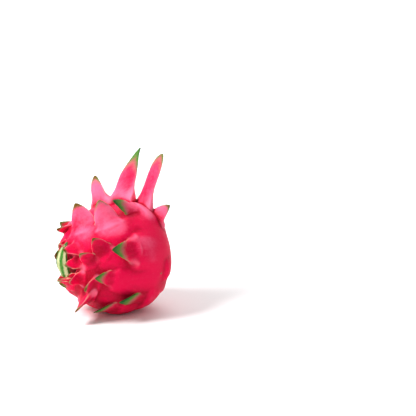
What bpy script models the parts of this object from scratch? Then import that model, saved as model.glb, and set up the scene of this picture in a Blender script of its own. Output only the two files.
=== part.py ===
"""A whole dragon fruit lying on its side, as one closed solid in metres.

+Z is up and the floor is at z = 0. The fruit's own axis is level and runs along X, with the stalk
end at +X and the blossom end, where the crown of withered scales is, at -X. A place on its skin is
given by a latitude, 0 degrees at the stalk and 180 at the crown, and a clock angle round the axis,
0 on top and 90 on the -Y side. The origin is on the floor under the middle of the whole box, and
the middle of the fruit's axis is above (MIDDLE_X, MIDDLE_Y).
"""

import math
import random
from collections import namedtuple

import bmesh
import bpy
import numpy as np
from mathutils import Matrix, Vector

# The bare body, without its scales.
STALK_LENGTH = 0.044
CROWN_LENGTH = 0.050
RADIUS = 0.0460
STALK_FULLNESS = 0.92
CROWN_FULLNESS = 0.94
SINK = 0.0012
MIDDLE_X = 0.00538
MIDDLE_Y = -0.00213
CROWN_HOLLOW_DEPTH = 0.0080
CROWN_HOLLOW_RADIUS = 0.0085
STALK_DIMPLE_DEPTH = 0.0040
STALK_DIMPLE_RADIUS = 0.0110

# The stub of the stalk.
STUB_RADIUS = 0.0040
STUB_LENGTH = 0.0080

# Where the scales grow: one each golden angle, from the stalk to the crown.
FIRST_SCALE = -16
LAST_SCALE = 23
GOLDEN_ANGLE = 137.5
CLOCK_OF_SCALE_0 = 70.0
LATITUDE_OF_SCALE_0 = 102.5
LATITUDE_STEP = 4.15
LATITUDE_SLOWING = 0.036
CROWN_SCALE = 16
CROWN_STEP = 1.1

# The make of every scale.
RAMP_SHARE = 0.55
RAMP_AHEAD = 0.006
BURIED = 0.0012
TIP_WIDTH = 0.0018
ROOT_THICKNESS = 0.36
ROOT_REACH = 0.3
BLADE_THICKNESS = 0.0028
TIP_THICKNESS = 0.0012
MARGIN_SHARE = 0.32
CUPPING = 0.03
SHOULDER_SHARE = 0.34
SHOULDER_LENGTH = 0.17
PUFF_SHARE = 0.075
PUFF_AT = 0.06
PUFF_REACH = 0.22
PUFF_SIDE = 0.78
PUFF_BREADTH = 0.24
TWIST_BY = 0.45
MOUND_HEIGHT = 0.0036
MOUND_SHARE = 0.8
FLOOR_GAP = 0.0004
SEED = 11

# How finely the solid is faceted.
BODY_COLUMNS = 50
BODY_ROWS = 34
STATIONS = (0, 0.1, 0.26, 0.46, 0.68, 0.88, 1)
FEWER_STATIONS = (0, 0.2, 0.6, 1)
ACROSS = 4
LARGE_WIDTH = 0.016

Scale = namedtuple("Scale", "latitude clock length width lift curl lean full twist", defaults=(0,))

# Scales that differ from the rule: what is added to their latitude and clock angle, then their
# length and width, the angle at which they leave the skin, what that gains by the tip, the angle by
# which they lean round the fruit, how full they stay towards the tip, where 1 is a plain triangle,
# and the angle by which the blade turns about its own length. Lengths are in metres, angles in
# degrees.
OWN_WAY = {
    -16: Scale(0, 0, 0.008, 0.016, 20, 0, 0, 1.5),
    -13: Scale(9, -29, 0.018, 0.024, 60, 60, 10, 2.0),
    -11: Scale(0, 0, 0.008, 0.018, 10, 0, 0, 1.5),
    -10: Scale(1, 1, 0.050, 0.025, 74, 12, -3, 8.0),
    -8: Scale(-6, 10, 0.010, 0.020, 10, 0, 0, 1.5),
    -7: Scale(1, 28, 0.055, 0.036, 98, 20, 2, 1.3, -28),
    -6: Scale(0, 0, 0.027, 0.028, 14, 0, 0, 1.4),
    -5: Scale(-10, -19, 0.037, 0.034, 13, 0, 3, 1.4, 34),
    -4: Scale(0, 0, 0.030, 0.028, 18, 0, 0, 1.4),
    -3: Scale(-4, 11, 0.036, 0.031, 9, 0, -21, 1.5),
    -2: Scale(2, -4, 0.025, 0.032, 78, 24, 0, 3.4),
    -1: Scale(0, 0, 0.015, 0.022, 12, 0, 0, 1.4),
    0: Scale(0, 0, 0.031, 0.033, 30, 0, -8, 1.25),
    1: Scale(2, 1, 0.020, 0.026, 32, 0, 32, 1.6),
    2: Scale(-1, -7, 0.027, 0.034, 24, 0, -4, 1.8),
    3: Scale(3, 16, 0.026, 0.034, 30, 18, -94, 2.2),
    4: Scale(0, 0, 0.015, 0.024, 28, 0, 0, 1.6),
    5: Scale(2, -2, 0.022, 0.025, 26, 14, -12, 1.4),
    6: Scale(5, -7, 0.015, 0.020, 41, 0, 5, 2.0),
    7: Scale(17, -43, 0.022, 0.032, 94, -10, 0, 1.6),
    8: Scale(-1, 18, 0.023, 0.027, 32, 24, -68, 2.0),
    9: Scale(-6, 0, 0.014, 0.026, 22, 10, 0, 2.6),
    10: Scale(3, -20, 0.015, 0.022, 60, 20, 0, 2.4),
    11: Scale(-3, 14, 0.028, 0.038, 27, 26, -133, 2.4),
    12: Scale(-4, 0, 0.012, 0.024, 30, 14, 0, 2.4),
    13: Scale(-3, -7, 0.020, 0.023, 45, 30, -67, 2.0),
    14: Scale(-2, 4, 0.009, 0.024, 34, 40, 26, 2.6),
    15: Scale(5, 16, 0.014, 0.026, 50, 10, 34, 2.6),
    16: Scale(-3, 0, 0.017, 0.020, 58, 30, 0, 2.6),
    17: Scale(3, -54, 0.039, 0.019, 41, -84, 9, 3.0, -32),
    18: Scale(-4, 0, 0.017, 0.019, 60, 36, 10, 2.6),
    19: Scale(-3, 14, 0.012, 0.018, 72, 50, -14, 2.4),
    20: Scale(-2, 0, 0.014, 0.017, 56, 40, 0, 2.6),
    21: Scale(-2, 0, 0.016, 0.018, 56, 44, 20, 2.4),
    22: Scale(0, 0, 0.010, 0.014, 70, 40, 0, 2.2),
    23: Scale(0, 0, 0.010, 0.014, 66, 50, 10, 2.2),
}


def latitude_of(number):
    """The rule for how far from the stalk a scale grows, in degrees."""
    n = min(number, CROWN_SCALE)
    extra = CROWN_STEP * max(0, number - CROWN_SCALE)
    return LATITUDE_OF_SCALE_0 + LATITUDE_STEP * n - LATITUDE_SLOWING * n * n + extra


def scales():
    """Every scale, by number from the stalk to the crown."""
    draw = random.Random(SEED)
    made = []
    for number in range(FIRST_SCALE, LAST_SCALE + 1):
        latitude = latitude_of(number)
        clock = CLOCK_OF_SCALE_0 - GOLDEN_ANGLE * number
        breadth = math.sin(math.radians(latitude))
        length = 0.036 * breadth**1.4 * draw.uniform(0.8, 1.2)
        width = 0.030 * breadth**0.6 * draw.uniform(0.9, 1.1)
        lift = 35 + 0.9 * max(0, latitude - 110) + draw.uniform(-10, 14)
        curl = draw.uniform(5, 35)
        own = OWN_WAY.get(number)
        if own:
            made.append(own._replace(latitude=latitude + own.latitude, clock=clock + own.clock))
        else:
            lean = draw.uniform(-12, 12)
            made.append(Scale(latitude, clock, length, width, lift, curl, lean, draw.uniform(1.2, 1.8)))
    return made


def profile(latitude):
    """Distance along the axis towards the crown, and radius, of the bare body. Latitude in radians."""
    fullness = np.where(latitude > math.pi / 2, CROWN_FULLNESS, STALK_FULLNESS)
    radius = RADIUS * np.sin(latitude) ** fullness
    length = np.where(latitude > math.pi / 2, CROWN_LENGTH, STALK_LENGTH)
    along = -length * np.cos(latitude)
    crown = CROWN_HOLLOW_DEPTH * np.exp(-((radius / CROWN_HOLLOW_RADIUS) ** 2))
    stalk = STALK_DIMPLE_DEPTH * np.exp(-((radius / STALK_DIMPLE_RADIUS) ** 2))
    return along + np.where(latitude > math.pi / 2, -crown, stalk), radius


def skin_point(latitude, clock):
    """A point of the bare body, in the row frame, for arrays of angles in radians."""
    along, radius = profile(latitude)
    up = RADIUS - SINK + radius * np.cos(clock)
    return np.stack([-along, -radius * np.sin(clock), up], axis=-1)


def skin_frame(latitude, clock):
    """(point, towards the crown, round the fruit, outwards) on the bare body."""
    small = 1e-3
    point = skin_point(latitude, clock)
    along = skin_point(latitude + small, clock) - skin_point(latitude - small, clock)
    along /= np.linalg.norm(along, axis=-1, keepdims=True)
    zero = np.zeros_like(clock)
    round_ = np.stack([zero, -np.cos(clock), -np.sin(clock)], axis=-1)
    return point, along, round_, np.cross(along, round_)


def mound_height(latitude, clock, grown):
    """How far the skin swells under the scales, for arrays of angles in radians."""
    total = np.zeros_like(latitude)
    radius = profile(latitude)[1]
    for scale in grown:
        away = np.remainder(clock - math.radians(scale.clock) + math.pi, 2 * math.pi) - math.pi
        round_ = away * radius / (0.5 * scale.width)
        forward = (latitude - math.radians(scale.latitude)) * RADIUS / (0.5 * scale.width)
        lean = math.radians(scale.lean)
        x = round_ * math.cos(lean) - forward * math.sin(lean)
        y = forward * math.cos(lean) + round_ * math.sin(lean)
        behind = np.where(y < 0, y / 1.15, y / 0.32)
        pillow = np.exp(-((x / 0.85) ** 4) - behind**2)
        height = MOUND_HEIGHT * min(1, scale.width / 0.024) * math.sin(math.radians(scale.latitude))
        total += (height * pillow) ** 5
    return total ** (1 / 5)


def face_outwards(bm):
    """Turns the faces of one closed mesh so that all of them look out."""
    bmesh.ops.recalc_face_normals(bm, faces=bm.faces)
    if bm.calc_volume(signed=True) < 0:
        bmesh.ops.reverse_faces(bm, faces=bm.faces)


def body(grown):
    """The body with its mounds, as a bmesh."""
    bm = bmesh.new()
    bmesh.ops.create_uvsphere(bm, u_segments=BODY_COLUMNS, v_segments=BODY_ROWS, radius=1)
    unit = np.array([v.co for v in bm.verts])
    latitude = np.arccos(np.clip(-unit[:, 2], -1, 1))
    clock = np.arctan2(unit[:, 1], unit[:, 0])
    point, _, _, outwards = skin_frame(np.clip(latitude, 1e-2, math.pi - 1e-2), clock)
    on_axis = np.hypot(unit[:, 0], unit[:, 1]) < 1e-6
    point = np.where(on_axis[:, None], skin_point(latitude, clock), point)
    swell = np.where(on_axis, 0, mound_height(latitude, clock, grown))
    for vertex, place in zip(bm.verts, point + outwards * swell[:, None]):
        vertex.co = Vector(place)
    face_outwards(bm)
    return bm


def ramp_behind(scale):
    """How far behind its base, towards the stalk, a scale starts to rise out of the body."""
    return RAMP_SHARE * scale.width * math.cos(math.radians(0.5 * scale.lift))


def thickness_at(scale, t):
    """How thick a scale is along its middle at t."""
    out = max(t, 0)
    flat = BLADE_THICKNESS * (1 - out) + TIP_THICKNESS * out
    back = max(-t, 0) * scale.length / ramp_behind(scale)
    root = ROOT_THICKNESS * scale.width * math.exp(-((out / ROOT_REACH) ** 1.2))
    return flat + root * (1 - 0.6 * back)


def centreline(scale, base, steps):
    """Points, directions and outer normals along a scale's middle, from under the skin to its tip."""
    point, along, round_, outwards = base
    lean = math.radians(scale.lean)
    along = along * math.cos(lean) + round_ * math.sin(lean)
    last = steps[0]
    behind = ramp_behind(scale)
    depth = 0.5 * thickness_at(scale, last) + BURIED + behind**2 / (2 * RADIUS)
    here = point - along * behind - outwards * depth
    lines = []
    for t in steps:
        ramp = min(1, (t * scale.length + behind) / (behind + RAMP_AHEAD))
        rise = ramp * ramp * (3 - 2 * ramp)
        angle = math.radians(scale.lift * rise + scale.curl * max(t, 0) ** 1.3)
        way = along * math.cos(angle) + outwards * math.sin(angle)
        here = here + way * (t - last) * scale.length
        last = t
        lines.append((here, way, outwards * math.cos(angle) - along * math.sin(angle)))
    return lines


def width_at(scale, t):
    """How wide a scale is at t, 0 where it leaves the skin and 1 at its tip."""
    out = max(t, 0)
    leaf = (1 - SHOULDER_SHARE) * (1 - min(out, 1) ** scale.full) ** 0.8
    shoulder = SHOULDER_SHARE * math.exp(-((out / SHOULDER_LENGTH) ** 2))
    back = max(-t, 0) * scale.length / ramp_behind(scale)
    return max(TIP_WIDTH, scale.width * (leaf + shoulder) * (1 - 0.45 * back * back))


def twisted(scale, t, way, face):
    """Which way a scale's side and its outer face look at t."""
    side = np.cross(way, face)
    angle = math.radians(scale.twist) * min(1, max(t, 0) / TWIST_BY)
    return side * math.cos(angle) + face * math.sin(angle), face * math.cos(angle) - side * math.sin(angle)


def section(scale, t, place, way, face, across):
    """The points round a scale at t."""
    side, face = twisted(scale, t, way, face)
    out = max(t, 0)
    width = width_at(scale, t)
    thick = thickness_at(scale, t)
    margin = MARGIN_SHARE * (1 - out) + 0.6 * out
    cup = width * width / (8 * RADIUS) * math.exp(-out / 0.3) + CUPPING * width
    puff = PUFF_SHARE * width * math.exp(-(((t - PUFF_AT) / PUFF_REACH) ** 2))
    over, under = [], []
    for i in range(across + 1):
        s = -math.cos(math.pi * i / across)
        half = 0.5 * thick * (margin + (1 - margin) * (1 - s * s))
        line = place + side * (0.5 * width * s) - face * (cup * s * s)
        swollen = puff * math.exp(-(((abs(s) - PUFF_SIDE) / PUFF_BREADTH) ** 2))
        over.append(line + face * (half + swollen))
        under.append(line - face * half)
    return over + under[::-1]


def blade(scale, grown):
    """One scale as a closed mesh, its root well inside the body."""
    latitude, clock = np.array(math.radians(scale.latitude)), np.array(math.radians(scale.clock))
    point, along, round_, outwards = skin_frame(latitude, clock)
    swell = float(mound_height(latitude, clock, grown))
    base = (point + outwards * MOUND_SHARE * swell, along, round_, outwards)
    large = scale.width > LARGE_WIDTH
    stations = STATIONS if large else FEWER_STATIONS
    across = ACROSS if large else ACROSS - 2
    ramp = ramp_behind(scale) / scale.length
    steps = (-ramp, -0.4 * ramp) + stations
    while True:
        lines = centreline(scale, base, steps)
        rings = [section(scale, t, *line, across) for t, line in zip(steps, lines)]
        lowest = min(p[2] for ring in rings[3:] for p in ring)
        if lowest > FLOOR_GAP or scale.lift < 4:
            break
        scale = scale._replace(lift=scale.lift - 4, curl=scale.curl - 4)
    bm = bmesh.new()
    loops = [[bm.verts.new(Vector(p)) for p in ring] for ring in rings]
    for low, high in zip(loops, loops[1:]):
        for i in range(len(low)):
            j = (i + 1) % len(low)
            bm.faces.new((low[i], low[j], high[j], high[i]))
    for loop in (loops[0], loops[-1]):
        half = len(loop) // 2
        for i in range(half - 1):
            corners = (loop[i], loop[i + 1], loop[-2 - i], loop[-1 - i])
            bm.faces.new(corners)
    face_outwards(bm)
    return bm


def stub():
    """The stub of the stalk, set in its dimple."""
    bm = bmesh.new()
    bmesh.ops.create_cone(
        bm, cap_ends=True, segments=12, radius1=STUB_RADIUS * 1.2, radius2=STUB_RADIUS, depth=STUB_LENGTH
    )
    for vertex in bm.verts:
        x, y, z = vertex.co
        vertex.co = Vector((z + STALK_LENGTH - STALK_DIMPLE_DEPTH, y, x + RADIUS - SINK))
    face_outwards(bm)
    return bm


def as_object(bm, name, collection):
    mesh = bpy.data.meshes.new(name)
    bm.to_mesh(mesh)
    bm.free()
    made = bpy.data.objects.new(name, mesh)
    collection.objects.link(made)
    return made


def fill_pockets(mesh):
    """Removes the small sealed hollows that the union leaves where scales close over the skin."""
    bm = bmesh.new()
    bm.from_mesh(mesh)
    unseen = set(bm.verts)
    islands = []
    while unseen:
        found = [unseen.pop()]
        for vertex in found:
            near = {edge.other_vert(vertex) for edge in vertex.link_edges} & unseen
            unseen -= near
            found.extend(near)
        islands.append(found)
    islands.sort(key=len)
    pockets = [vertex for island in islands[:-1] for vertex in island]
    bmesh.ops.delete(bm, geom=pockets, context="VERTS")
    bm.to_mesh(mesh)
    bm.free()


def skin_material():
    material = bpy.data.materials.new("skin")
    material.use_nodes = True
    shader = material.node_tree.nodes["Principled BSDF"]
    shader.inputs["Base Color"].default_value = (0.80, 0.05, 0.17, 1)
    shader.inputs["Roughness"].default_value = 0.45
    shader.inputs["Metallic"].default_value = 0
    return material


def main():
    for old in list(bpy.data.objects):
        bpy.data.objects.remove(old)
    scene = bpy.context.scene
    grown = scales()
    fruit = as_object(body(grown), "fruit", scene.collection)
    helpers = bpy.data.collections.new("helpers")
    scene.collection.children.link(helpers)
    for number, scale in enumerate(grown):
        as_object(blade(scale, grown), f"scale_{number}", helpers)
    as_object(stub(), "stub", helpers)
    join = fruit.modifiers.new("join", "BOOLEAN")
    join.operation = "UNION"
    join.solver = "MANIFOLD"
    join.operand_type = "COLLECTION"
    join.collection = helpers
    floor_bm = bmesh.new()
    bmesh.ops.create_cube(floor_bm, size=0.4)
    bmesh.ops.translate(floor_bm, verts=floor_bm.verts, vec=(0, 0, -0.2))
    floor = as_object(floor_bm, "under_floor", scene.collection)
    cut = fruit.modifiers.new("flat_spot", "BOOLEAN")
    cut.operation = "DIFFERENCE"
    cut.solver = "MANIFOLD"
    cut.object = floor
    graph = bpy.context.evaluated_depsgraph_get()
    solid = bpy.data.meshes.new_from_object(fruit.evaluated_get(graph))
    fruit.modifiers.clear()
    fruit.data = solid
    for helper in list(helpers.objects) + [floor]:
        bpy.data.objects.remove(helper)
    bpy.data.collections.remove(helpers)
    fill_pockets(solid)
    solid.transform(Matrix.Translation((MIDDLE_X, MIDDLE_Y, 0)))
    solid.materials.clear()
    solid.materials.append(skin_material())
    solid.shade_smooth()
    solid.set_sharp_from_angle(angle=math.radians(50))


if __name__ == "__main__":
    main()
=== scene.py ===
"""A dragon fruit's looks: its skin with every scale grown out of it, its withered crown, its cut
stalk, and the plain table and studio light that it is seen in. All lengths are in metres.

The scales grow where the solid's scales do, by the same rule and the same named values. The skin
starts as the body and the scales one through another, is made one surface by a fine remesh, and is
softened where a scale leaves the body. Each point then remembers how far along a scale it is.
"""

import math
import random
from collections import namedtuple

import bmesh
import bpy
import numpy as np
from mathutils import Matrix, Vector, kdtree, noise


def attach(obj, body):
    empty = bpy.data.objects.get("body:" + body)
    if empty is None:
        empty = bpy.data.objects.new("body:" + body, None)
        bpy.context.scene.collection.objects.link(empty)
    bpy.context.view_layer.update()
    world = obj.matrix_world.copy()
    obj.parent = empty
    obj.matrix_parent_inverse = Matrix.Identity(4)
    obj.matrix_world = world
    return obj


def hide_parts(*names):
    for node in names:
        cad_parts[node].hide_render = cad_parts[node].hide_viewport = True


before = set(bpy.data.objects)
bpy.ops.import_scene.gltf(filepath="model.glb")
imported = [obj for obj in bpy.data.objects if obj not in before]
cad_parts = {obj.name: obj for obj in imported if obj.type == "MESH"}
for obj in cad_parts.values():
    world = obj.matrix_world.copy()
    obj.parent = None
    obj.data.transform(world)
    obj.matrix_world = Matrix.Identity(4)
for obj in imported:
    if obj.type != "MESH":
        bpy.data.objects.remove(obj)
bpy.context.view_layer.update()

# The bare body and the place of its axis, as in the solid.
STALK_LENGTH = 0.044
CROWN_LENGTH = 0.050
RADIUS = 0.0460
STALK_FULLNESS = 0.92
CROWN_FULLNESS = 0.94
SINK = 0.0012
MIDDLE_X = 0.00538
MIDDLE_Y = -0.00213
CROWN_HOLLOW_DEPTH = 0.0080
CROWN_HOLLOW_RADIUS = 0.0085
STALK_DIMPLE_DEPTH = 0.0040
STALK_DIMPLE_RADIUS = 0.0110

# The stub of the stalk.
STUB_RADIUS = 0.0040
STUB_LENGTH = 0.0080

# Where the scales grow.
FIRST_SCALE = -16
LAST_SCALE = 23
GOLDEN_ANGLE = 137.5
CLOCK_OF_SCALE_0 = 70.0
LATITUDE_OF_SCALE_0 = 102.5
LATITUDE_STEP = 4.15
LATITUDE_SLOWING = 0.036
CROWN_SCALE = 16
CROWN_STEP = 1.1

# The make of every scale.
RAMP_SHARE = 0.55
RAMP_AHEAD = 0.006
BURIED = 0.0012
TIP_WIDTH = 0.0018
ROOT_THICKNESS = 0.36
ROOT_REACH = 0.3
BLADE_THICKNESS = 0.0028
TIP_THICKNESS = 0.0012
MARGIN_SHARE = 0.32
CUPPING = 0.03
SHOULDER_SHARE = 0.34
SHOULDER_LENGTH = 0.17
PUFF_SHARE = 0.075
PUFF_AT = 0.06
PUFF_REACH = 0.22
PUFF_SIDE = 0.78
PUFF_BREADTH = 0.24
TWIST_BY = 0.45
MOUND_HEIGHT = 0.0036
MOUND_SHARE = 0.8
FLOOR_GAP = 0.0004
SEED = 11

# How finely the skin is made, and how much it is smoothed in its folds and all over.
BODY_FINENESS = 7
SCALE_COLUMNS = 40
SCALE_ROWS = 60
VOXEL = 0.0005
FOLD_REACH = 0.0035
FOLD_SMOOTHING = 26
WHOLE_SMOOTHING = 4
MOST_TRIANGLES = 188_000

# The skin's lumps and dimples, and the waves in the rims of the scales round the crown.
LUMP_HEIGHT = 0.0005
LUMP_LENGTH = 0.018
DIMPLE_HEIGHT = 0.00012
DIMPLE_LENGTH = 0.004
FRILL_FROM = 14
FRILL_SHARE = 0.07

# The number of the scale that is the striped bract over the crown.
LEAF = 17

# What the colours need: the rounds of averaging that relief is measured against, the relief of plain skin
# in millimetres, how far the painted shade in the crown's hollow and the painted highlight at a scale's base
# reach, and where the painted highlights on a scale's corners start across it, end along it, and how many
# rounds they spread.
RELIEF_REACH = 110
PLAIN_RELIEF = 0.8
CROWN_REACH = 0.022
HIGHLIGHT_SHARE = 0.55
EAR_FROM = 0.45
EAR_END = 0.36
EAR_SPREAD = 8

Scale = namedtuple("Scale", "latitude clock length width lift curl lean full twist", defaults=(0,))

# Scales that differ from the rule, as in the solid.
OWN_WAY = {
    -16: Scale(0, 0, 0.008, 0.016, 20, 0, 0, 1.5),
    -13: Scale(9, -29, 0.018, 0.024, 60, 60, 10, 2.0),
    -11: Scale(0, 0, 0.008, 0.018, 10, 0, 0, 1.5),
    -10: Scale(1, 1, 0.050, 0.025, 74, 12, -3, 8.0),
    -8: Scale(-6, 10, 0.010, 0.020, 10, 0, 0, 1.5),
    -7: Scale(1, 28, 0.055, 0.036, 98, 20, 2, 1.3, -28),
    -6: Scale(0, 0, 0.027, 0.028, 14, 0, 0, 1.4),
    -5: Scale(-10, -19, 0.037, 0.034, 13, 0, 3, 1.4, 34),
    -4: Scale(0, 0, 0.030, 0.028, 18, 0, 0, 1.4),
    -3: Scale(-4, 11, 0.036, 0.031, 9, 0, -21, 1.5),
    -2: Scale(2, -4, 0.025, 0.032, 78, 24, 0, 3.4),
    -1: Scale(0, 0, 0.015, 0.022, 12, 0, 0, 1.4),
    0: Scale(0, 0, 0.031, 0.033, 30, 0, -8, 1.25),
    1: Scale(2, 1, 0.020, 0.026, 32, 0, 32, 1.6),
    2: Scale(-1, -7, 0.027, 0.034, 24, 0, -4, 1.8),
    3: Scale(3, 16, 0.026, 0.034, 30, 18, -94, 2.2),
    4: Scale(0, 0, 0.015, 0.024, 28, 0, 0, 1.6),
    5: Scale(2, -2, 0.022, 0.025, 26, 14, -12, 1.4),
    6: Scale(5, -7, 0.015, 0.020, 41, 0, 5, 2.0),
    7: Scale(17, -43, 0.022, 0.032, 94, -10, 0, 1.6),
    8: Scale(-1, 18, 0.023, 0.027, 32, 24, -68, 2.0),
    9: Scale(-6, 0, 0.014, 0.026, 22, 10, 0, 2.6),
    10: Scale(3, -20, 0.015, 0.022, 60, 20, 0, 2.4),
    11: Scale(-3, 14, 0.028, 0.038, 27, 26, -133, 2.4),
    12: Scale(-4, 0, 0.012, 0.024, 30, 14, 0, 2.4),
    13: Scale(-3, -7, 0.020, 0.023, 45, 30, -67, 2.0),
    14: Scale(-2, 4, 0.009, 0.024, 34, 40, 26, 2.6),
    15: Scale(5, 16, 0.014, 0.026, 50, 10, 34, 2.6),
    16: Scale(-3, 0, 0.017, 0.020, 58, 30, 0, 2.6),
    17: Scale(3, -54, 0.039, 0.019, 41, -84, 9, 3.0, -32),
    18: Scale(-4, 0, 0.017, 0.019, 60, 36, 10, 2.6),
    19: Scale(-3, 14, 0.012, 0.018, 72, 50, -14, 2.4),
    20: Scale(-2, 0, 0.014, 0.017, 56, 40, 0, 2.6),
    21: Scale(-2, 0, 0.016, 0.018, 56, 44, 20, 2.4),
    22: Scale(0, 0, 0.010, 0.014, 70, 40, 0, 2.2),
    23: Scale(0, 0, 0.010, 0.014, 66, 50, 10, 2.2),
}

# How a scale's tip is coloured: how far along the green starts, and how brown and dry its end is.
TIP_COLOURS = {
    -13: (0.84, 0.9),
    -10: (0.90, 0.3),
    -7: (0.70, 0.0),
    -5: (0.62, 0.2),
    -3: (0.52, 0.0),
    -2: (0.84, 0.9),
    0: (0.60, 0.3),
    2: (0.62, 0.3),
    3: (0.92, 0.3),
    5: (0.66, 0.1),
    6: (0.84, 1.0),
    7: (0.88, 1.0),
    8: (0.94, 0.8),
    10: (0.92, 0.7),
    11: (0.95, 1.0),
    13: (0.86, 0.3),
    15: (0.90, 0.9),
}


def latitude_of(number):
    """The rule for how far from the stalk a scale grows, in degrees."""
    n = min(number, CROWN_SCALE)
    extra = CROWN_STEP * max(0, number - CROWN_SCALE)
    return LATITUDE_OF_SCALE_0 + LATITUDE_STEP * n - LATITUDE_SLOWING * n * n + extra


def scales():
    """Every scale, by number from the stalk to the crown."""
    draw = random.Random(SEED)
    made = []
    for number in range(FIRST_SCALE, LAST_SCALE + 1):
        latitude = latitude_of(number)
        clock = CLOCK_OF_SCALE_0 - GOLDEN_ANGLE * number
        breadth = math.sin(math.radians(latitude))
        length = 0.036 * breadth**1.4 * draw.uniform(0.8, 1.2)
        width = 0.030 * breadth**0.6 * draw.uniform(0.9, 1.1)
        lift = 35 + 0.9 * max(0, latitude - 110) + draw.uniform(-10, 14)
        curl = draw.uniform(5, 35)
        own = OWN_WAY.get(number)
        if own:
            made.append(own._replace(latitude=latitude + own.latitude, clock=clock + own.clock))
        else:
            lean = draw.uniform(-12, 12)
            made.append(Scale(latitude, clock, length, width, lift, curl, lean, draw.uniform(1.2, 1.8)))
    return made


def profile(latitude):
    """Distance along the axis towards the crown, and radius, of the bare body. Latitude in radians."""
    fullness = np.where(latitude > math.pi / 2, CROWN_FULLNESS, STALK_FULLNESS)
    radius = RADIUS * np.sin(latitude) ** fullness
    length = np.where(latitude > math.pi / 2, CROWN_LENGTH, STALK_LENGTH)
    along = -length * np.cos(latitude)
    crown = CROWN_HOLLOW_DEPTH * np.exp(-((radius / CROWN_HOLLOW_RADIUS) ** 2))
    stalk = STALK_DIMPLE_DEPTH * np.exp(-((radius / STALK_DIMPLE_RADIUS) ** 2))
    return along + np.where(latitude > math.pi / 2, -crown, stalk), radius


def skin_point(latitude, clock):
    """A point of the bare body, in the row frame, for arrays of angles in radians."""
    along, radius = profile(latitude)
    up = RADIUS - SINK + radius * np.cos(clock)
    return np.stack([-along, -radius * np.sin(clock), up], axis=-1)


def skin_frame(latitude, clock):
    """(point, towards the crown, round the fruit, outwards) on the bare body."""
    small = 1e-3
    point = skin_point(latitude, clock)
    along = skin_point(latitude + small, clock) - skin_point(latitude - small, clock)
    along /= np.linalg.norm(along, axis=-1, keepdims=True)
    zero = np.zeros_like(clock)
    round_ = np.stack([zero, -np.cos(clock), -np.sin(clock)], axis=-1)
    return point, along, round_, np.cross(along, round_)


def mound_height(latitude, clock, grown):
    """How far the skin swells under the scales, for arrays of angles in radians."""
    total = np.zeros_like(latitude)
    radius = profile(latitude)[1]
    for scale in grown:
        away = np.remainder(clock - math.radians(scale.clock) + math.pi, 2 * math.pi) - math.pi
        round_ = away * radius / (0.5 * scale.width)
        forward = (latitude - math.radians(scale.latitude)) * RADIUS / (0.5 * scale.width)
        lean = math.radians(scale.lean)
        x = round_ * math.cos(lean) - forward * math.sin(lean)
        y = forward * math.cos(lean) + round_ * math.sin(lean)
        behind = np.where(y < 0, y / 1.15, y / 0.32)
        pillow = np.exp(-((x / 0.85) ** 4) - behind**2)
        height = MOUND_HEIGHT * min(1, scale.width / 0.024) * math.sin(math.radians(scale.latitude))
        total += (height * pillow) ** 5
    return total ** (1 / 5)


def angles(bm):
    """For each point of a unit sphere, its angle from the top and round it."""
    unit = np.array([vertex.co for vertex in bm.verts])
    return np.arccos(np.clip(unit[:, 2], -1, 1)), np.arctan2(unit[:, 1], unit[:, 0])


def add_placed(whole, bm, points):
    """Puts the points of one closed piece where they belong and adds the piece to the whole."""
    for vertex, point in zip(bm.verts, points):
        vertex.co = Vector(point)
    bmesh.ops.recalc_face_normals(bm, faces=bm.faces)
    if bm.calc_volume(signed=True) < 0:
        bmesh.ops.reverse_faces(bm, faces=bm.faces)
    piece = bpy.data.meshes.new("piece")
    bm.to_mesh(piece)
    bm.free()
    whole.from_mesh(piece)
    bpy.data.meshes.remove(piece)


def grow_body(whole, grown):
    """Adds the body with its mounds, and gives where its points are."""
    bm = bmesh.new()
    bmesh.ops.create_icosphere(bm, subdivisions=BODY_FINENESS, radius=1)
    down, clock = angles(bm)
    latitude = math.pi - down
    point, _, _, outwards = skin_frame(np.clip(latitude, 1e-2, math.pi - 1e-2), clock)
    on_axis = np.abs(np.sin(latitude)) < 1e-6
    point = np.where(on_axis[:, None], skin_point(latitude, clock), point)
    swell = np.where(on_axis, 0, mound_height(latitude, clock, grown))
    points = point + outwards * swell[:, None]
    add_placed(whole, bm, points)
    return points


def ramp_behind(scale):
    """How far behind its base, towards the stalk, a scale starts to rise out of the body."""
    return RAMP_SHARE * scale.width * math.cos(math.radians(0.5 * scale.lift))


def thickness_at(scale, t):
    """How thick a scale is along its middle at t."""
    out = max(t, 0)
    flat = BLADE_THICKNESS * (1 - out) + TIP_THICKNESS * out
    back = max(-t, 0) * scale.length / ramp_behind(scale)
    root = ROOT_THICKNESS * scale.width * math.exp(-((out / ROOT_REACH) ** 1.2))
    return flat + root * (1 - 0.6 * back)


def centreline(scale, base, steps):
    """Points, directions and outer normals along a scale's middle, from under the skin to its tip."""
    point, along, round_, outwards = base
    lean = math.radians(scale.lean)
    along = along * math.cos(lean) + round_ * math.sin(lean)
    last = steps[0]
    behind = ramp_behind(scale)
    depth = 0.5 * thickness_at(scale, last) + BURIED + behind**2 / (2 * RADIUS)
    here = point - along * behind - outwards * depth
    lines = []
    for t in steps:
        ramp = min(1, (t * scale.length + behind) / (behind + RAMP_AHEAD))
        rise = ramp * ramp * (3 - 2 * ramp)
        angle = math.radians(scale.lift * rise + scale.curl * max(t, 0) ** 1.3)
        way = along * math.cos(angle) + outwards * math.sin(angle)
        here = here + way * (t - last) * scale.length
        last = t
        lines.append((here, way, outwards * math.cos(angle) - along * math.sin(angle)))
    return lines


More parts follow.
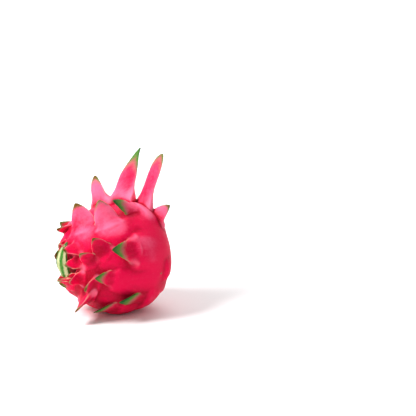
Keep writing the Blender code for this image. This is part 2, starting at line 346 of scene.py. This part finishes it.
def width_at(scale, t):
    """How wide a scale is at t, 0 where it leaves the skin and 1 at its tip."""
    out = max(t, 0)
    leaf = (1 - SHOULDER_SHARE) * (1 - min(out, 1) ** scale.full) ** 0.8
    shoulder = SHOULDER_SHARE * math.exp(-((out / SHOULDER_LENGTH) ** 2))
    back = max(-t, 0) * scale.length / ramp_behind(scale)
    return max(TIP_WIDTH, scale.width * (leaf + shoulder) * (1 - 0.45 * back * back))


def twisted(scale, t, way, face):
    """Which way a scale's side and its outer face look at t."""
    side = np.cross(way, face)
    angle = math.radians(scale.twist) * min(1, max(t, 0) / TWIST_BY)
    return side * math.cos(angle) + face * math.sin(angle), face * math.cos(angle) - side * math.sin(angle)


def section_points(scale, t, line, turn, frill, phase):
    """The points of one ring round a scale at t, by their angle round it."""
    middle, way, face = line
    side, face = twisted(scale, t, way, face)
    out = max(t, 0)
    width = width_at(scale, t)
    thick = thickness_at(scale, t)
    margin = MARGIN_SHARE * (1 - out) + 0.6 * out
    cup = width * width / (8 * RADIUS) * math.exp(-out / 0.3) + CUPPING * width
    s = -np.cos(turn)
    half = 0.5 * thick * np.sin(turn) * (margin + (1 - margin) * np.abs(np.sin(turn)))
    puff = PUFF_SHARE * width * math.exp(-(((t - PUFF_AT) / PUFF_REACH) ** 2))
    half = half + frill * out * s * s * np.sin(9 * t + 4 * s + 2 * phase)
    ears = np.exp(-(((np.abs(s) - PUFF_SIDE) / PUFF_BREADTH) ** 2))
    half = half + puff * np.clip(np.sin(turn) * 2, 0, 1) * ears
    return middle + side * (0.5 * width * s)[:, None] + face * (half - cup * s * s)[:, None]


def grow_stub(whole):
    """Adds the stub of the stalk in its dimple, and gives its points."""
    bm = bmesh.new()
    bmesh.ops.create_cone(bm, cap_ends=True, segments=32, radius1=STUB_RADIUS * 1.2, radius2=STUB_RADIUS,
                          depth=STUB_LENGTH)
    bmesh.ops.subdivide_edges(bm, edges=bm.edges, cuts=4, use_grid_fill=True)
    points = [(v.co.z + STALK_LENGTH - STALK_DIMPLE_DEPTH, v.co.y, v.co.x + RADIUS - SINK) for v in bm.verts]
    points = np.array(points)
    add_placed(whole, bm, points)
    return points


def grow_scale(whole, number, scale, grown):
    """Adds one scale, and gives its points, how far along it and from its middle each is, and its base."""
    frill = FRILL_SHARE * scale.width if number >= FRILL_FROM and number != LEAF else 0
    latitude, clock = np.array(math.radians(scale.latitude)), np.array(math.radians(scale.clock))
    point, along, round_, outwards = skin_frame(latitude, clock)
    swell = float(mound_height(latitude, clock, grown))
    base = (point + outwards * MOUND_SHARE * swell, along, round_, outwards)
    ramp = ramp_behind(scale) / scale.length
    bm = bmesh.new()
    bmesh.ops.create_uvsphere(bm, u_segments=SCALE_COLUMNS, v_segments=SCALE_ROWS, radius=1)
    down, turn = angles(bm)
    rows = np.round(down * SCALE_ROWS / math.pi).astype(int)
    steps = [-ramp + (1 + ramp) * row / SCALE_ROWS for row in range(SCALE_ROWS + 1)]
    while True:
        lines = centreline(scale, base, steps)
        points = np.zeros((len(down), 3))
        for row, (t, line) in enumerate(zip(steps, lines)):
            here = rows == row
            points[here] = section_points(scale, t, line, turn[here], frill, number)
        out = np.array(steps)[rows]
        if points[out > 0.1][:, 2].min() > FLOOR_GAP or scale.lift < 4:
            break
        scale = scale._replace(lift=scale.lift - 4, curl=scale.curl - 4)
    add_placed(whole, bm, points)
    return points, out, np.abs(np.cos(turn)), (base[0], scale.width)


def mesh_of(obj):
    """The object's mesh with its modifiers applied, in place of its own."""
    graph = bpy.context.evaluated_depsgraph_get()
    made = bpy.data.meshes.new_from_object(obj.evaluated_get(graph))
    obj.modifiers.clear()
    obj.data = made
    return made


def points_of(mesh):
    """Where the mesh's points are, one row for each."""
    points = np.empty(len(mesh.vertices) * 3)
    mesh.vertices.foreach_get("co", points)
    return points.reshape(-1, 3)


def nearest(points, wanted):
    """For each wanted point, the number of the nearest of the points and how far away it is."""
    tree = kdtree.KDTree(len(points))
    for number, point in enumerate(points):
        tree.insert(point, number)
    tree.balance()
    found = [tree.find(point)[1:] for point in wanted]
    return np.array([f[0] for f in found]), np.array([f[1] for f in found])


def soften(obj, name, weights, factor, repeat):
    """Smooths the object, as much as the weights say at each point."""
    group = obj.vertex_groups.new(name=name)
    steps = np.round(weights * 10).astype(int)
    for step in range(1, 11):
        numbers = np.nonzero(steps == step)[0]
        if len(numbers):
            group.add(numbers.tolist(), step / 10, "REPLACE")
    smooth = obj.modifiers.new(name, "SMOOTH")
    smooth.vertex_group = name
    smooth.factor = factor
    smooth.iterations = repeat
    return mesh_of(obj)


def attribute(mesh, name, values):
    """Keeps a value for each point under a name that the material reads."""
    made = mesh.attributes.new(name, "FLOAT", "POINT")
    made.data.foreach_set("value", np.asarray(values, np.float32))


def averaged(mesh, values, rounds):
    """Rows of values, one for each point, after so many rounds of taking the neighbours' mean."""
    ends = np.empty(len(mesh.edges) * 2, np.int32)
    mesh.edges.foreach_get("vertices", ends)
    a, b = ends.reshape(-1, 2).T
    length = len(values)
    count = np.bincount(np.concatenate([a, b]), minlength=length)[:, None]
    for _ in range(rounds):
        sums = [np.bincount(a, column[b], length) + np.bincount(b, column[a], length) for column in values.T]
        values = np.stack(sums, axis=1) / count
    return values


def raised(mesh, reach):
    """How far each point stands out of a smoothed copy of the skin, in metres."""
    points = points_of(mesh)
    normals = np.empty(len(points) * 3)
    mesh.vertices.foreach_get("normal", normals)
    soft = averaged(mesh, points, reach)
    return np.einsum("ij,ij->i", points - soft, normals.reshape(-1, 3))


def lumps(points):
    """How far each point stands out for the skin's soft lumps and small dimples, none near the floor."""
    heights = []
    for point in points:
        place = Vector(point)
        lump = noise.noise(place / LUMP_LENGTH) * LUMP_HEIGHT
        dimple = noise.noise(place / DIMPLE_LENGTH) * DIMPLE_HEIGHT
        heights.append((lump + dimple) * min(1, max(0, (place.z - 0.001) / 0.004)))
    return np.array(heights)


def grow_skin():
    """The whole skin as one object, with what its colours need to know at each point."""
    bm = bmesh.new()
    grown = scales()
    body_points = grow_body(bm, grown)
    numbers = range(FIRST_SCALE, LAST_SCALE + 1)
    parts = [grow_scale(bm, number, scale, grown) for number, scale in zip(numbers, grown)]
    stub_points = grow_stub(bm)
    mesh = bpy.data.meshes.new("skin")
    bm.to_mesh(mesh)
    bm.free()
    obj = bpy.data.objects.new("skin", mesh)
    bpy.context.scene.collection.objects.link(obj)
    remesh = obj.modifiers.new("one_surface", "REMESH")
    remesh.mode = "VOXEL"
    remesh.voxel_size = VOXEL
    mesh = mesh_of(obj)

    free = [(points[out > 0.02], out[out > 0.02], side[out > 0.02]) for points, out, side, _ in parts]
    scale_points = np.concatenate([points for points, _, _ in free])
    points = points_of(mesh)
    _, from_body = nearest(body_points[::3], points)
    _, from_scale = nearest(scale_points[::2], points)
    fold = np.clip(1 - from_body / FOLD_REACH, 0, 1) * np.clip(1 - from_scale / FOLD_REACH, 0, 1)
    soften(obj, "fold", np.clip(fold * 3, 0, 1), 0.5, FOLD_SMOOTHING)
    mesh = soften(obj, "all", np.ones(len(points)), 0.5, WHOLE_SMOOTHING)
    decimate = obj.modifiers.new("fewer", "DECIMATE")
    decimate.ratio = MOST_TRIANGLES / (2 * len(mesh.polygons))
    mesh = mesh_of(obj)

    points = points_of(mesh)
    found, _ = nearest(np.concatenate([body_points, scale_points, stub_points]), points)

    def from_sources(body_value, of_scales, stub_value=0.0):
        """A value for each point, from the body, the scale or the stub that it is nearest."""
        stub_values = np.full(len(stub_points), stub_value)
        return np.concatenate([np.full(len(body_points), body_value)] + of_scales + [stub_values])[found]

    draw = random.Random(SEED + 1)
    green, brown, tone = [], [], []
    for number, (scale_part, _, _) in zip(numbers, free):
        crown = number >= FRILL_FROM
        start = draw.uniform(0.90, 1.0) if crown else draw.uniform(0.62, 0.9)
        own_start, dry = TIP_COLOURS.get(number, (start, draw.choice((0, 0.3, 0.9))))
        green.append(np.full(len(scale_part), own_start))
        brown.append(np.full(len(scale_part), dry))
        tone.append(np.full(len(scale_part), draw.random()))
    which = [np.full(len(scale_part), number) for number, (scale_part, _, _) in zip(numbers, free)]
    which = from_sources(FIRST_SCALE - 1, which)
    pole = np.array([-CROWN_LENGTH + CROWN_HOLLOW_DEPTH, 0, RADIUS - SINK])
    from_pole = np.linalg.norm(points - pole, axis=1)
    along = from_sources(0.0, [out for _, out, _ in free])
    side = from_sources(0.0, [side for _, _, side in free])
    # The corners at a scale's base, over its puffs, where the colour paints a highlight.
    ear = np.clip((side - EAR_FROM) / 0.4, 0, 1) * np.clip((EAR_END - along) / 0.28, 0, 1)
    attribute(mesh, "along", along)
    attribute(mesh, "side", side)
    attribute(mesh, "ear", averaged(mesh, ear[:, None], EAR_SPREAD)[:, 0])
    attribute(mesh, "green_from", from_sources(2.0, green, 2.0))
    attribute(mesh, "brown", from_sources(0.0, brown))
    attribute(mesh, "tone", from_sources(0.5, tone))
    attribute(mesh, "stub", from_sources(0.0, [np.zeros(len(g)) for g in green], 1.0))
    attribute(mesh, "leaf", which == LEAF)
    # How near each point is to a scale's base. The colour paints a highlight there on the upper parts.
    near_base = np.zeros(len(points))
    for *_, (base, width) in parts:
        away = np.linalg.norm(points - base, axis=1) / (HIGHLIGHT_SHARE * width)
        near_base = np.maximum(near_base, np.exp(-(away**2)))
    attribute(mesh, "near_base", near_base)
    attribute(mesh, "crown", np.clip(1 - from_pole / CROWN_REACH, 0, 1))
    # How high each point is. The colour uses it to paint highlight on the upper parts.
    attribute(mesh, "high", np.clip(points[:, 2] / (2 * RADIUS), 0, 1))
    # How far each point stands out. The colour uses it to paint highlight where the skin stands out and shade
    # in its folds.
    attribute(mesh, "raised", raised(mesh, RELIEF_REACH) / 0.001)
    normals = np.empty(len(points) * 3)
    mesh.vertices.foreach_get("normal", normals)
    points = points + normals.reshape(-1, 3) * lumps(points)[:, None]
    points[:, 2] = np.maximum(points[:, 2], 0)
    mesh.vertices.foreach_set("co", points.ravel())
    mesh.transform(Matrix.Translation((MIDDLE_X, MIDDLE_Y, 0)))
    mesh.shade_smooth()
    return obj


class Link:
    """One socket's value, with the sums that are used on it."""

    def __init__(self, tree, socket):
        self.tree = tree
        self.socket = socket

    def math(self, operation, *others):
        return self.tree.add("ShaderNodeMath", {"operation": operation}, self, *others).out()

    def __add__(self, other):
        return self.math("ADD", other)

    def __sub__(self, other):
        return self.math("SUBTRACT", other)

    def __mul__(self, other):
        return self.math("MULTIPLY", other)

    def step(self, low, high):
        """0 below low and 1 above high, with a smooth rise between."""
        settings = {"interpolation_type": "SMOOTHSTEP"}
        return self.tree.add("ShaderNodeMapRange", settings, self, low, high, 0.0, 1.0).out()


class Node:
    """A shader node whose outputs are given as links."""

    def __init__(self, tree, node):
        self.tree = tree
        self.node = node

    def out(self, which=0):
        return Link(self.tree, self.node.outputs[which])


class Finish:
    """A material whose nodes are added one call at a time."""

    def __init__(self, name):
        self.material = bpy.data.materials.new(name)
        self.material.use_nodes = True
        self.nodes = self.material.node_tree.nodes
        self.shader = self.nodes["Principled BSDF"]

    def add(self, kind, settings=None, *values, **named):
        """Adds a node with these settings, and gives its sockets these values or links."""
        node = self.nodes.new(kind)
        for name, value in (settings or {}).items():
            setattr(node, name, value)
        for which, value in list(enumerate(values)) + list(named.items()):
            if isinstance(which, str):
                which = which.replace("_", " ")
            self.give(node.inputs[which], value)
        return Node(self, node)

    def give(self, socket, value):
        """Joins the socket to a link, or sets it to a plain value."""
        if isinstance(value, Link):
            self.material.node_tree.links.new(value.socket, socket)
        else:
            socket.default_value = value

    def attribute(self, name):
        """What the mesh says under this name at each point."""
        return self.add("ShaderNodeAttribute", {"attribute_name": name}).out("Fac")

    def noise(self, scale, detail=3.0, rough=0.55, stretch=(1, 1, 1)):
        """Noise over the object, in waves of about 1/scale metres."""
        where = self.add("ShaderNodeTexCoord").out("Object")
        where = self.add("ShaderNodeMapping", None, where, Scale=stretch).out()
        made = self.add("ShaderNodeTexNoise", None, Vector=where, Scale=scale, Detail=detail, Roughness=rough)
        return made.out("Fac")

    def mix(self, share, first, second):
        """The first colour where the share is 0, the second where it is 1."""
        node = self.nodes.new("ShaderNodeMix")
        node.data_type = "RGBA"
        self.give(node.inputs["Factor"], share)
        self.give(node.inputs[6], first)
        self.give(node.inputs[7], second)
        return Link(self, node.outputs[2])

    def set(self, **values):
        """Sets the shader's own sockets, with _ for each space in their names."""
        for name, value in values.items():
            self.give(self.shader.inputs[name.replace("_", " ")], value)

    def bump(self, height, distance, strength):
        """Roughens the surface by a height that isn't modelled."""
        made = self.add("ShaderNodeBump", None, Strength=strength, Distance=distance, Height=height)
        self.set(Normal=made.out())


def colour(red, green, blue):
    """A colour as it is on a screen, from 0 to 255, in the shader's own numbers."""
    linear = [((c / 255 + 0.055) / 1.055) ** 2.4 if c > 10 else c / 255 / 12.92 for c in (red, green, blue)]
    return (*linear, 1)


def skin_finish():
    """Pink skin with painted highlight where it stands out and high up and painted shade in its folds and the
    crown's hollow, with green and brown tips, and a striped bract at the crown.
    """
    finish = Finish("fruit_skin")
    along = finish.attribute("along")
    side = finish.attribute("side")
    green_from = finish.attribute("green_from")
    brown = finish.attribute("brown")
    tone = finish.attribute("tone")
    relief = finish.attribute("raised")
    crown = finish.attribute("crown")
    high = finish.attribute("high")
    near_base = finish.attribute("near_base")
    leaf = finish.attribute("leaf")
    stub = finish.attribute("stub")

    clouds = finish.noise(34, 3)
    mottle = finish.noise(420, 4, 0.65)
    veins = finish.noise(230, 3, 0.6, (0.22, 1, 1))
    specks = finish.noise(1900, 2)

    # The deep colour is painted shade in the skin's folds together with its own darker tone; the pale colour
    # is painted highlight on raised and upper parts together with its own paler tone.
    deep_tone_and_shade = colour(168, 2, 38)
    mid = colour(226, 6, 68)
    pale = colour(246, 112, 150)
    # Painted shade and highlight: the colour darkens where the skin lies below its smoothed copy, and pales
    # where it stands out and higher up. Clouds, mottle, veins and tone add the skin's own uneven colour.
    tone_and_painted_top_light = (clouds - 0.5) * 1.3 + (mottle - 0.5) * 0.7 + (veins - 0.5) * 0.9 + (high - 0.5) * 0.7
    height = relief - PLAIN_RELIEF + tone_and_painted_top_light + (tone - 0.5) * 0.4
    pink = finish.mix(height.step(-1.5, 0.1), deep_tone_and_shade, mid)
    # Painted highlight: paler round each scale's base and along tall scales, on the upper parts only.
    painted_highlight = near_base * high.step(0.4, 0.95) * 2.2 + along.step(0.1, 0.7) * high.step(0.8, 1.0) * 0.9
    pink = finish.mix((height + painted_highlight).step(0.5, 2.7) * 0.85, pink, pale)
    # Painted highlight on the puffed corners at each scale's base.
    pink = finish.mix(finish.attribute("ear").step(0.05, 0.9) * 0.5, pink, colour(250, 130, 160))
    pink = finish.mix(specks.step(0.58, 0.74) * 0.16, pink, colour(250, 150, 178))
    # Painted shade in the crown's hollow: the skin darkens towards the crown. Nearest to it the skin goes
    # brown, which is partly the withered crown's own colour and partly painted shade.
    pink = finish.mix(crown.step(0.2, 0.9) * 0.6, pink, colour(150, 6, 40))
    pink = finish.mix((crown + (mottle - 0.5) * 0.2).step(0.55, 0.85) * 0.8, pink, colour(88, 40, 22))

    margin = side.step(0.90, 0.99) * along.step(0.15, 0.45)
    pink = finish.mix(margin * 0.55, pink, colour(206, 158, 136))
    frill = side.step(0.80, 0.96) * along.step(0.2, 0.55) * crown.step(0.0, 0.25)
    pink = finish.mix(frill * mottle.step(0.30, 0.55) * 0.8, pink, colour(228, 186, 150))

    reach = along + side * side * 0.20 + (mottle - 0.5) * 0.16 - green_from
    olive = finish.mix(reach.step(-0.16, 0.04) * 0.75, pink, colour(160, 104, 96))
    green = finish.mix(reach.step(-0.02, 0.16), olive, colour(86, 128, 52))
    dark = finish.mix(reach.step(0.12, 0.42), green, colour(32, 84, 40))
    dry_reach = (along + (mottle - 0.5) * 0.12 + brown * 0.14).step(0.92, 1.05)
    dry = finish.mix(dry_reach * brown.step(-0.2, 1.0), dark, colour(104, 80, 30))

    wander = (mottle - 0.5) * 0.5 + (clouds - 0.5) * 0.8
    ribs = (side * 1.6 + wander).math("PINGPONG", 1.0).step(0.25, 0.65)
    blade = finish.mix(ribs, colour(52, 124, 44), colour(196, 200, 150))
    blade = finish.mix(veins.step(0.45, 0.7) * 0.5, blade, colour(112, 150, 72))
    blade = finish.mix(side.step(0.66, 0.82), blade, colour(62, 98, 38))
    blade = finish.mix(side.step(0.93, 1.0) * 0.7, blade, colour(168, 160, 96))
    blade = finish.mix((along + (mottle - 0.5) * 0.2).step(0.72, 0.95) * 0.8, blade, colour(40, 92, 40))
    whole = finish.mix(leaf * along.step(0.02, 0.12), dry, blade)
    cut = finish.mix(mottle, colour(92, 84, 44), colour(150, 140, 88))
    whole = finish.mix(stub, whole, cut)

    finish.set(Base_Color=whole)
    finish.set(Roughness=(mottle * 0.16 + 0.40))
    finish.set(Subsurface_Weight=0.08, Subsurface_Scale=0.003, IOR=1.45, Specular_IOR_Level=0.06)
    finish.bump(mottle * 0.6 + specks * 0.25 + veins * 0.5, 0.0004, 0.6)
    return finish.material


def floor_piece():
    """A pale table top that glows a little far away, so that it stays white up to the edge of the view."""
    bm = bmesh.new()
    bmesh.ops.create_grid(bm, x_segments=1, y_segments=1, size=FLOOR_SIZE)
    mesh = bpy.data.meshes.new("floor")
    bm.to_mesh(mesh)
    bm.free()
    floor = bpy.data.objects.new("floor", mesh)
    bpy.context.scene.collection.objects.link(floor)
    finish = Finish("table_top")
    grain = finish.noise(14, 2)
    where = finish.add("ShaderNodeTexCoord").out("Object")
    away = finish.add("ShaderNodeVectorMath", {"operation": "LENGTH"}, where).out("Value")
    finish.set(Base_Color=finish.mix(grain, colour(247, 246, 247), colour(251, 251, 251)))
    finish.set(Roughness=0.6, Specular_IOR_Level=0.2)
    finish.set(Emission_Color=finish.mix(away.step(*GLOW_FROM_TO), (0, 0, 0, 1), (1, 1, 1, 1)))
    finish.set(Emission_Strength=0.45)
    mesh.materials.append(finish.material)


def add_light(name, spot, target, size, watts):
    """A round, white, soft light that looks at the target."""
    data = bpy.data.lights.new(name, "AREA")
    data.shape = "DISK"
    data.size = size
    data.energy = watts
    light = bpy.data.objects.new(name, data)
    light.location = spot
    light.rotation_euler = (Vector(target) - Vector(spot)).to_track_quat("-Z", "Y").to_euler()
    bpy.context.scene.collection.objects.link(light)


# The camera's place: its direction, the width that it sees at the fruit, and where the middle of
# the view is from the middle of the body.
CAMERA_AZIMUTH = -38
CAMERA_ELEVATION = 12
CAMERA_DISTANCE = 1.2
VIEW_WIDTH = 0.3536
VIEW_RIGHT = 0.0765
VIEW_UP = 0.0417
SENSOR = 36

# The table top's half width, and how far from the fruit it starts to glow and glows in full.
FLOOR_SIZE = 9
GLOW_FROM_TO = (0.22, 1.0)

# How bright the surround is behind the camera and behind the fruit.
SURROUND_FRONT = 0.50
SURROUND_BACK = 1.02


def aim_camera():
    """The camera, and the directions right, level and up that it sees."""
    azimuth, elevation = math.radians(CAMERA_AZIMUTH), math.radians(CAMERA_ELEVATION)
    right = Vector((math.cos(azimuth), math.sin(azimuth), 0))
    level = Vector((-math.sin(azimuth), math.cos(azimuth), 0))
    forward = level * math.cos(elevation) - Vector((0, 0, math.sin(elevation)))
    up = right.cross(forward)
    body_middle = Vector((MIDDLE_X, MIDDLE_Y, RADIUS - SINK))
    target = body_middle + right * VIEW_RIGHT + up * VIEW_UP
    data = bpy.data.cameras.new("camera")
    data.sensor_width = SENSOR
    data.lens = SENSOR * CAMERA_DISTANCE / VIEW_WIDTH
    camera = bpy.data.objects.new("camera", data)
    turn = Matrix((right, up, -forward)).transposed().to_4x4()
    camera.matrix_world = Matrix.Translation(target - forward * CAMERA_DISTANCE) @ turn
    bpy.context.scene.collection.objects.link(camera)
    bpy.context.scene.camera = camera
    return right, level


def light_studio(right, level):
    """Soft light from the upper left, with a white surround that is brighter behind the fruit."""
    fruit = Vector((0, 0, 0.05))
    up = Vector((0, 0, 1))
    add_light("key", fruit - right * 0.62 - level * 0.28 + up * 0.75, fruit, 0.42, 13)
    add_light("back", fruit + right * 0.1 + level * 0.7 + up * 0.8, fruit, 0.7, 3)
    world = bpy.data.worlds.new("studio")
    world.use_nodes = True
    nodes = world.node_tree.nodes
    links = world.node_tree.links
    direction = nodes.new("ShaderNodeTexCoord").outputs["Generated"]
    towards = nodes.new("ShaderNodeVectorMath")
    towards.operation = "DOT_PRODUCT"
    links.new(direction, towards.inputs[0])
    towards.inputs[1].default_value = level
    strength = nodes.new("ShaderNodeMapRange")
    links.new(towards.outputs["Value"], strength.inputs["Value"])
    strength.inputs["From Min"].default_value = -0.1
    strength.inputs["From Max"].default_value = 0.7
    strength.inputs["To Min"].default_value = SURROUND_FRONT
    strength.inputs["To Max"].default_value = SURROUND_BACK
    background = nodes["Background"]
    background.inputs["Color"].default_value = (1, 1, 1, 1)
    links.new(strength.outputs["Result"], background.inputs["Strength"])
    bpy.context.scene.world = world
    bpy.context.scene.view_settings.view_transform = "Standard"


def main():
    """Sets the view, the light and the table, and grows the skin."""
    right, level = aim_camera()
    light_studio(right, level)
    floor_piece()
    skin = grow_skin()
    skin.data.materials.append(skin_finish())
    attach(skin, "root")
    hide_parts("fruit")


main()
